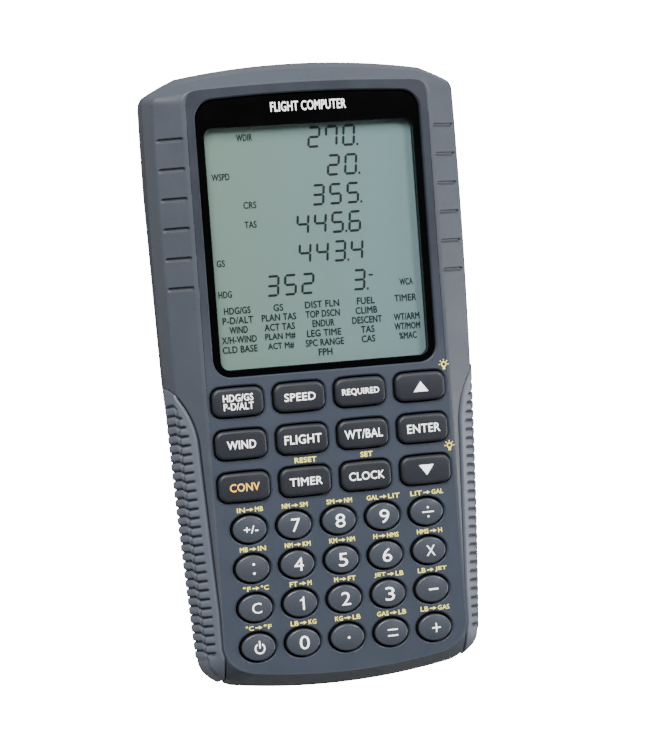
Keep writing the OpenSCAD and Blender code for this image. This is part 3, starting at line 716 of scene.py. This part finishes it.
def front_housing(settings):
    """The face, rails and sides down to the seam, with the notches, key holes and the grips' recesses."""
    near = np.array([-0.85, -0.7, -0.6, -0.5, -0.35, 0, 0.35, 0.5, 0.6, 0.7, 0.85])
    side_y = np.unique(np.r_[np.arange(-77.4, -22, 2.2), np.arange(-22, -1, 0.6), GRIP_TIP_Y - 0.02,
                             GRIP_TIP_Y + 0.02, np.arange(0, 26, 2.4), (NOTCH_Y[:, None] + near).ravel(),
                             NOTCH_Y[:-1] + 4.15, 72, 75, 77, 78.8])
    outline = Outline(side_y)
    edge = outline.grip_edge()[:, None]
    turn_in = np.minimum(0.95, edge - 0.1)
    w = np.concatenate([-0.12 + (turn_in + 0.12) * np.linspace(0, 1, 42)[None, :],
                        turn_in + (edge - turn_in) * np.linspace(0, 1, 25)[None, 1:]], axis=1)
    skin = outline.skin(w)
    # Notches: slots with round ends, whose depth falls with the distance from the slot's middle line.
    x, y = skin[..., 0:1], skin[..., 1:2]
    from_end = np.maximum(np.maximum(37.0 - x, x - 42.7), 0)
    from_line = np.min(np.abs(y - NOTCH_Y), axis=-1, keepdims=True)
    depth = settings.notch_depth / MM * smooth_step((0.62 - np.hypot(from_end, from_line)) / 0.2)
    skin = skin + normals(skin) * -depth * (w[..., None] < 1.2)
    notch = depth[..., 0] / (settings.notch_depth / MM)
    # The shell's edge dips a little before the grip's recess.
    has_grip = (edge < 1.99)[..., None]
    near_edge = np.clip(1 - (edge - w) * 9.0 / 0.55, 0, 1)[..., None]
    skin = skin - normals(skin) * 0.4 * (1 - np.sqrt(1 - near_edge ** 2)) * has_grip
    under_w = edge + (2 - edge) * np.linspace(0, 1, 8)[None, :]
    out = np.concatenate([outline.out, np.full((len(outline.out), 1), 0.35)], axis=1)[:, None, :]
    under = outline.line(under_w) - np.where(has_grip, GRIP_RECESS, 0.0) * out
    under[..., 2] = np.maximum(under[..., 2], SEAM_Z)
    seam, level_out = outline.line(np.full((1, 1), 2.0)), outline_out(outline)
    lip = seam - np.where(has_grip, GRIP_RECESS, 0.5) * level_out + [0, 0, 0.02]
    inner = [seam - 2.2 * level_out, seam - 4.3 * level_out + [0, 0, 5.0]]
    ceiling = outline.line(np.full((1, 1), -0.3))
    ceiling[..., 2] = ROOF_Z
    work = Patchwork()
    grid = both_sides(np.concatenate([skin, under, lip] + inner + [ceiling], axis=1))
    # Painted shade mask: the notches, and the recess wall behind each grip, go into the groove attribute.
    hidden = np.zeros((len(notch), grid.shape[1] - notch.shape[1]))
    hidden[:, :8] = has_grip[..., 0]
    notch = np.concatenate([notch, hidden], axis=1)
    work.grid(grid, 0, wrap=True, depth=np.concatenate([notch, notch[-2:0:-1]]))
    radius = settings.edge_radius / MM
    openings = holes()
    rim, roof = grid[:, 0, :2], grid[:, -1, :2]
    work.add(*sheet_with_holes(rim, [h(radius) for h in openings], FACE_Z), slot=1, smooth=False)
    points, faces = sheet_with_holes(roof, [h(0.0) for h in openings], ROOF_Z)
    work.add(points, [f[::-1] for f in faces], slot=1, smooth=False)
    turn = np.linspace(0, math.pi / 2, 6)
    for opening in openings:
        # A hole's edge: a quarter circle from the face into the hole, then a straight wall.
        rings = [at_height(opening(radius * (1 - math.sin(a))), FACE_Z - radius * (1 - math.cos(a)))
                 for a in turn]
        rings.append(at_height(opening(0.0), ROOF_Z))
        work.grid(np.stack(rings, axis=1), 1, wrap=True, flip=True)
    return work


def outline_out(outline):
    """The outward directions of an outline, as one column of level vectors."""
    return np.concatenate([outline.out, np.zeros((len(outline.out), 1))], axis=1)[:, None, :]


def grip(settings, side):
    """A rubber grip: the casing's section raised a little, with round edges, and ribs between cut grooves."""
    side_y = np.r_[np.arange(-77.2, -18, 0.257), np.arange(-18, GRIP_TIP_Y, 0.22), GRIP_TIP_Y - 0.001]
    outline = Outline(side_y)
    y = outline.seam[:, 1]
    rows = (y < GRIP_TIP_Y) & (outline.seam[:, 0] > grip_x(y) + 0.4) & (y < 0)
    edge = outline.grip_edge()[:, None] + 0.05
    share = np.linspace(0, 1, 74)[None, :] ** 0.9
    w = edge + (3 - edge) * share
    skin = outline.skin(w, 0.07)[rows]
    flat = normals(skin)
    across = np.cumsum(np.linalg.norm(np.diff(skin, axis=1, prepend=skin[:, :1]), axis=-1), axis=1)
    along = np.cumsum(np.linalg.norm(np.diff(skin[:, 40], axis=0, prepend=skin[:1, 40]), axis=-1))[:, None]
    border = np.minimum(np.minimum(across, across[:, -1:] - across), np.minimum(along, along[-1] - along))
    near = np.clip(border / 0.55, 0, 1)
    proud = settings.grip_proud / MM
    height = proud - (proud + 0.6) * (1 - np.sqrt(1 - (1 - near) ** 2))
    lean = 0.10 * (across - 5) - 1.0 * smooth_step((w[rows] - 0.93) / 0.3)
    from_groove = np.min(np.abs((skin[..., 1] + lean)[..., None] - GROOVE_Y), axis=-1)
    reach = smooth_step((across - 2.0) / 0.6) * smooth_step((across[:, -1:] - across - 1.6) / 1.2)
    edge_of_rim = np.clip(1 - np.abs(w[rows] - 1.0) / 0.45, 0, 1)
    cut = (1 - smooth_step((from_groove - 0.1) / (0.36 + 0.15 * edge_of_rim))) * reach
    height = height - settings.rib_depth / MM * cut * (1 + 0.2 * edge_of_rim)
    valley = np.exp(-((w[rows] - 0.97) / 0.04) ** 2) * reach
    height = height - 0.16 * valley
    height = height + 0.05 * np.cos(np.clip(from_groove / RIB_PITCH, 0, 0.5) * 2 * math.pi - math.pi) * reach
    skin = skin + flat * height[..., None]
    inner = outline.line(w)[rows] - 1.15 * np.concatenate([outline.out[rows], np.full((rows.sum(), 1), 0.3)],
                                                          axis=1)[:, None, :]
    sheet = np.concatenate([skin, inner[:, ::-1]], axis=1)
    sheet = sheet * [side, 1, 1]
    work = Patchwork()
    columns = sheet.shape[1]
    ring = np.concatenate([sheet, sheet[:, :1]], axis=1)
    # Painted shade mask: the grooves, the valley at the rim, the grip's rounded border and its inner side.
    hollow_shade = np.maximum(np.maximum(cut, 0.7 * valley), 1 - smooth_step(near * 1.6))
    hollow_shade = np.concatenate([hollow_shade, np.ones((len(hollow_shade), ring.shape[1] - hollow_shade.shape[1]))], axis=1)
    work.grid(ring, 0, flip=side < 0, depth=hollow_shade)
    for row, backwards in ((0, side > 0), (-1, side < 0)):
        half = columns // 2
        cap = np.stack([sheet[row, :half], sheet[row, half:][::-1]], axis=0)
        work.grid(cap, 0, flip=backwards)
    return work


def key_top(x, y, size, top, fall):
    """Height of a key's face: a paraboloid that falls from the middle to the edge."""
    return top - fall * ((x / (size[0] / 2)) ** 2 + (y / (size[1] / 2)) ** 2)


def key(centre, loop, size, top, fall, shoulder, wall_grow, printing):
    """A key: a domed face, a round shoulder, a wall that widens downwards, a flange and a flat underside."""
    work = Patchwork()
    rings = []
    for share in np.linspace(0, 1, 9) ** 0.8:
        p = loop(-shoulder) * share
        rings.append(np.c_[p, key_top(p[:, 0], p[:, 1], size, top, fall)])
    edge_z = rings[-1][:, 2]
    for a in np.linspace(0, math.pi / 2, 7)[1:]:
        p = loop(-shoulder * (1 - math.sin(a)))
        rings.append(np.c_[p, edge_z - shoulder * 0.8 * (1 - math.cos(a))])
    for grow, z in ((wall_grow, 21.75), (wall_grow + 0.95, 21.7), (wall_grow + 0.95, KEY_BOTTOM)):
        rings.append(at_height(loop(grow), z))
    rings.append(at_height(loop(0) * 0, KEY_BOTTOM))
    grid = np.stack(rings, axis=1) + [centre[0], centre[1], 0]
    work.grid(grid[:, :15], 0, wrap=True)
    work.grid(grid[:, 14:], 2, wrap=True)
    points, faces = divided(*printing, cuts=2)
    z = key_top(points[:, 0], points[:, 1], size, top, fall) + 0.03
    work.add(np.c_[points + centre, z], faces, 1, smooth=False)
    return work


class PieceOperator:
    bl_options = {"REGISTER", "UNDO"}


class FLIGHT_OT_front_housing(PieceOperator, bpy.types.Operator):
    """Makes the front housing with its key holes and notches."""
    bl_idname = "flight.front_housing"
    bl_label = "Front housing"

    def execute(self, context):
        s = context.scene.flight_casing
        # The rails' material paints shade into the notches.
        rails = moulded("satin_moulded_abs", s.rail, 0.42, 0.35, 0.02, groove_shade=0.35, IOR=1.5)
        # The face's material paints shade towards the display end.
        face = moulded("satin_moulded_abs_face", s.face, 0.4, 0.35, 0.02, display_end_shade=0.45, IOR=1.5)
        front_housing(s).piece("front_shell", [rails, face], replaces=["front_housing"], slot="housing")
        return {"FINISHED"}


class FLIGHT_OT_rear_housing(PieceOperator, bpy.types.Operator):
    """Gives the rear housing and the battery door their moulded finish and soft shading."""
    bl_idname = "flight.rear_housing"
    bl_label = "Rear housing"

    def execute(self, context):
        s = context.scene.flight_casing
        dark = moulded("spark_eroded_abs", tuple(c * 0.62 for c in s.rail), 0.5, 0.3, 0.03, IOR=1.5)
        for node, name, body in (("rear_housing", "rear_shell", "casing"),
                                 ("battery_door", "door_cover", "battery_door")):
            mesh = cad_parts[node].data.copy()
            work = bmesh.new()
            work.from_mesh(mesh)
            bmesh.ops.remove_doubles(work, verts=work.verts, dist=2e-6)
            work.to_mesh(mesh)
            work.free()
            mesh.shade_smooth()
            mesh.set_sharp_from_angle(angle=math.radians(34))
            mesh.materials.clear()
            mesh.materials.append(dark)
            obj = bpy.data.objects.new(name, mesh)
            context.scene.collection.objects.link(obj)
            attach(obj, body)
            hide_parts(node)
            obj.modifiers.new("even_faces", "WEIGHTED_NORMAL").keep_sharp = True
        return {"FINISHED"}


class FLIGHT_OT_grips(PieceOperator, bpy.types.Operator):
    """Makes the two ribbed rubber grips."""
    bl_idname = "flight.grips"
    bl_label = "Grips"

    def execute(self, context):
        s = context.scene.flight_casing
        # The rubber's material paints shade into the grooves between the ribs and round the grip's border.
        rubber = moulded("moulded_rubber", s.rubber, 0.42, 0.3, 0.02, groove_shade=0.8, IOR=1.5)
        for name, side in (("left_grip", -1), ("right_grip", 1)):
            grip(s, side).piece(name + "_cover", [rubber], replaces=[name], slot="grip_rubber")
        return {"FINISHED"}


class FLIGHT_OT_display(PieceOperator, bpy.types.Operator):
    """Makes the lens with its printed border, and the screen with its readings."""
    bl_idname = "flight.display"
    bl_label = "Display"

    def execute(self, context):
        s = context.scene.flight_display
        border = moulded("printed_acrylic_border", s.border, 0.2, 0.6, 0.002, 0.0, 0.04,
                         **{"IOR": 1.49, "Specular IOR Level": 0.2})
        window = clear_window("clear_acrylic")
        ink = printed_ink("white_lens_print", linear("#f4f4f4"))
        work = Patchwork()
        outer, inner = lens_loop(0.0), soft_rectangle((60.8, 68), 2.6, 0.0) + [0, 37.6]
        chamfer = outer - (outer - [0, 40]) * 0.006
        work.add(*sheet_with_holes(chamfer, [inner], LENS_TOP), 0, smooth=False)
        work.add(at_height(inner, LENS_TOP), [list(range(len(inner)))], 1, smooth=False)
        work.add(at_height(outer, LENS_BOTTOM), [list(range(len(outer)))[::-1]], 1, smooth=False)
        wall = [at_height(outer, LENS_BOTTOM), at_height(outer, 23.2), at_height(chamfer, LENS_TOP)]
        work.grid(np.stack(wall, axis=1), 0, wrap=True, flip=True)
        shaft = np.stack([at_height(inner, z) for z in (22.18, LENS_TOP)], axis=1)
        name_points, name_faces = text_shape("FLIGHT COMPUTER", 22, 2.8, 0.06)
        work.add(at_height(name_points + [0.2, 76.6], LENS_TOP + PRINT_GAP), name_faces, 2, smooth=False)
        work.piece("lens_plate", [border, window, ink], replaces=["display_lens"], slot="lens")
        mask = Patchwork()
        mask.add(*sheet_with_holes(outer * 0.995, [inner], 22.12), 0, smooth=False)
        mask.grid(shaft, 0, wrap=True)
        mask.piece("lens_mask", [border], slot="black_plastic")
        dark = printed_ink("screen_segments", s.segment, 0.4)
        marks = Patchwork()
        shapes = [digit_shapes(text, x, y) for x, y, text in READINGS]
        shapes.append(bar_shape(14.9, 27.3, 16.2, 27.8))
        for x, y, text, width in CAPTIONS:
            shapes.append(moved(text_shape(text, width, 2.0, 0.06), x, y))
        for x, y, lines in MENU:
            for row, text in enumerate(lines):
                shapes.append(moved(text_shape(text, 1.2 * len(text) + 0.5, 2.05, 0.07), x, y - 2.73 * row))
        points, faces = joined(shapes)
        marks.add(at_height(points, LCD_Z), faces, 0, smooth=False)
        marks.piece("screen_readings", [dark], slot="lcd_glass")
        paint("lcd_panel", screen_glass("polarised_screen", s.glass))
        return {"FINISHED"}


class FLIGHT_OT_keys(PieceOperator, bpy.types.Operator):
    """Makes the oval and wide keys with their printing."""
    bl_idname = "flight.keys"
    bl_label = "Keys"

    def execute(self, context):
        s = context.scene.flight_keys
        slate = moulded("semi_gloss_key_plastic", s.oval, 0.26, 0.4, 0.006, IOR=1.5)
        charcoal = moulded("satin_key_plastic", s.wide, 0.42, 0.35, 0.012, IOR=1.5)
        ink = printed_ink("white_key_print", s.ink)
        orange = printed_ink("orange_key_print", s.orange)
        black = moulded("black_key_skirt", linear("#101012"), 0.6, 0.3, 0.01, IOR=1.45)
        for index, (name, text, w, h) in enumerate(WIDE_KEYS):
            centre = np.array([WIDE_COLUMNS[index % 4], WIDE_ROWS[index // 4]])
            work = key(centre, lambda g: soft_rectangle((14.7, 7.7), 2.3, g, 0.2), (14.7, 7.7),
                       s.wide_top / MM, 0.16, 0.95, 0.0, symbol(text, w, h))
            work.piece(name + "_cap", [charcoal, orange if name == "key_convert" else ink, black], body=name,
                       replaces=[name], slot="wide_key")
        for index, (name, text, w, h, _) in enumerate(OVAL_KEYS):
            centre = np.array([KEY_COLUMNS[index % 5], KEY_ROWS[index // 5]])
            work = key(centre, lambda g: oval_loop((9.7, 7.6), g), (9.7, 7.6), s.oval_top / MM, 0.6, 0.6, 0.22,
                       moved(symbol(text, w, h), 0.25, 0))
            work.piece(name + "_cap", [slate, ink, black], body=name, replaces=[name], slot="oval_key")
        return {"FINISHED"}


class FLIGHT_OT_legends(PieceOperator, bpy.types.Operator):
    """Makes the small yellow printing on the face."""
    bl_idname = "flight.legends"
    bl_label = "Face printing"

    def execute(self, context):
        yellow = printed_ink("yellow_face_print", context.scene.flight_keys.yellow)
        shapes = []
        for index, (_, _, _, _, text) in enumerate(OVAL_KEYS):
            shapes.append(legend_shapes(text, KEY_COLUMNS[index % 5] + 0.6, KEY_ROWS[index // 5] + 5.5))
        for text, x, width in (("RESET", -8.3, 6.4), ("SET", 9.6, 3.6)):
            shapes.append(moved(text_shape(text, width, 1.5, 0.05), x, -23.3))
        shapes += [lamp_shapes(34.4, 0.4), lamp_shapes(34.4, -23.0)]
        points, faces = joined(shapes)
        work = Patchwork()
        work.add(at_height(points, FACE_Z + PRINT_GAP), faces, 0, smooth=False)
        work.piece("face_printing", [yellow], slot="housing")
        return {"FINISHED"}


def paint(node, material):
    """Gives a CAD node its finish."""
    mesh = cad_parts[node].data
    mesh.materials.clear()
    mesh.materials.append(material)


class FLIGHT_OT_inside(PieceOperator, bpy.types.Operator):
    """Gives the cells, springs, contacts, board and other inner pieces their finishes."""
    bl_idname = "flight.inside"
    bl_label = "Inner pieces"

    def execute(self, context):
        nickel = metal("nickel_plated_spring_steel", linear("#c9cbcd"), 0.3, 0.2)
        zinc = metal("zinc_plated_steel", linear("#9b9da1"), 0.35, 0.2)
        silicone = moulded("moulded_silicone", linear("#151517"), 0.6, 0.5, 0.02, IOR=1.41)
        black = moulded("black_moulded_abs", linear("#17181a"), 0.5, 0.3, 0.02, IOR=1.5)
        board = moulded("green_solder_mask", linear("#1f5a36"), 0.35, 1.2, 0.03, 0.12, IOR=1.5)
        milk = moulded("milky_acrylic", linear("#e8ece6"), 0.4, 0.5, 0.01, IOR=1.49)
        sleeve = moulded("capacitor_sleeve", linear("#23304a"), 0.3, 0.4, 0.01, IOR=1.5)
        gum = moulded("adhesive_foam", linear("#242424"), 0.7, 0.3, 0.03, IOR=1.45)
        brass = metal("printed_steel_sleeve", linear("#b0893a"), 0.28, 0.3)
        finishes = {"battery_springs": nickel, "battery_contacts": nickel, "housing_screws": zinc,
                    "board_screws": zinc, "clock_crystal": nickel, "keypad_mat": silicone,
                    "contact_strips": silicone, "display_frame": black, "processor_chip": black,
                    "main_board": board, "backlight_panel": milk, "capacitors": sleeve, "lens_gasket": gum,
                    "battery_1": brass, "battery_2": brass, "battery_3": brass}
        for node, material in finishes.items():
            paint(node, material)
        return {"FINISHED"}


class FLIGHT_OT_stage(PieceOperator, bpy.types.Operator):
    """Sets up the floor, the lights and the camera."""
    bl_idname = "flight.stage"
    bl_label = "Stage"

    def execute(self, context):
        s = context.scene.flight_stage
        mesh = bpy.data.meshes.new("floor")
        corners = ((-4, -4), (4, -4), (4, 4), (-4, 4))
        mesh.from_pydata([(x, y, -0.0002) for x, y in corners], [], [(0, 1, 2, 3)])
        floor = bpy.data.objects.new("floor", mesh)
        context.scene.collection.objects.link(floor)
        mesh.materials.append(white_floor("white_acrylic_table", s.floor_glow))
        x, y, z = s.turn
        turn = Matrix.Rotation(z, 3, "Z") @ Matrix.Rotation(x, 3, "X") @ Matrix.Rotation(y, 3, "Y")
        lens = bpy.data.cameras.new("camera")
        lens.lens, lens.sensor_width, lens.clip_start = s.focal, 36, 0.01
        camera = bpy.data.objects.new("camera", lens)
        context.scene.collection.objects.link(camera)
        camera.matrix_world = Matrix.Translation(s.place) @ turn.transposed().to_4x4()
        context.scene.camera = camera
        for name, place, size, share in (("window_light", (-0.32, 0.85, 0.88), 0.7, 0.8),
                                         ("side_light", (1.1, -0.3, 0.25), 0.6, 0.27),
                                         ("top_light", (0.75, 0.55, 0.95), 0.35, 0.34)):
            data = bpy.data.lights.new(name, "AREA")
            data.energy, data.size = s.key_light * share, size
            light = bpy.data.objects.new(name, data)
            context.scene.collection.objects.link(light)
            light.location = place
            light.rotation_euler = (-Vector(place)).to_track_quat("-Z", "Y").to_euler()
        world = bpy.data.worlds.new("studio")
        world.use_nodes = True
        tree = world.node_tree
        place = add(tree, "ShaderNodeTexCoord").outputs["Generated"]
        height = add(tree, "ShaderNodeSeparateXYZ", links={0: place})
        dim = add(tree, "ShaderNodeMapRange", {"From Min": 0.3, "From Max": 0.8, "To Min": s.ambient,
                                               "To Max": s.ambient * 0.3}, {"Value": height.outputs["Z"]})
        front = add(tree, "ShaderNodeMapRange", {"From Min": -0.7, "From Max": 0.2, "To Min": 0.25, "To Max": 1.0},
                    {"Value": height.outputs["Y"]})
        room = add(tree, "ShaderNodeMath", links={0: dim.outputs[0], 1: front.outputs[0]}, operation="MULTIPLY")
        seen = add(tree, "ShaderNodeLightPath")
        level = add(tree, "ShaderNodeMix", {"B": s.floor_glow + 0.5},
                    {0: seen.outputs["Is Camera Ray"], 2: room.outputs[0]})
        tree.links.new(level.outputs[0], tree.nodes["Background"].inputs["Strength"])
        tree.nodes["Background"].inputs["Color"].default_value = (1, 1, 1, 1)
        context.scene.world = world
        return {"FINISHED"}


STEPS = (FLIGHT_OT_stage, FLIGHT_OT_front_housing, FLIGHT_OT_rear_housing, FLIGHT_OT_grips, FLIGHT_OT_display,
         FLIGHT_OT_keys, FLIGHT_OT_legends, FLIGHT_OT_inside)
SETTINGS = {"flight_casing": CasingSettings, "flight_keys": KeySettings, "flight_display": DisplaySettings,
            "flight_stage": StageSettings}


class FLIGHT_PT_panel(bpy.types.Panel):
    """Lists the flight computer's settings and steps."""
    bl_idname = "FLIGHT_PT_panel"
    bl_label = "Flight computer"
    bl_space_type = "VIEW_3D"
    bl_region_type = "UI"
    bl_category = "Flight computer"

    def draw(self, context):
        for name in SETTINGS:
            group = getattr(context.scene, name)
            box = self.layout.box()
            for field in group.bl_rna.properties.keys():
                if field not in {"rna_type", "name"}:
                    box.prop(group, field)
        for step in STEPS:
            self.layout.operator(step.bl_idname)


def register():
    for group in SETTINGS.values():
        bpy.utils.register_class(group)
    for name, group in SETTINGS.items():
        setattr(bpy.types.Scene, name, PointerProperty(type=group))
    for cls in STEPS + (FLIGHT_PT_panel,):
        bpy.utils.register_class(cls)


def unregister():
    for cls in (FLIGHT_PT_panel,) + STEPS[::-1]:
        bpy.utils.unregister_class(cls)
    for name, group in SETTINGS.items():
        delattr(bpy.types.Scene, name)
        bpy.utils.unregister_class(group)


def main():
    register()
    for step in STEPS:
        group, call = step.bl_idname.split(".")
        getattr(getattr(bpy.ops, group), call)()


if __name__ == "__main__":
    main()
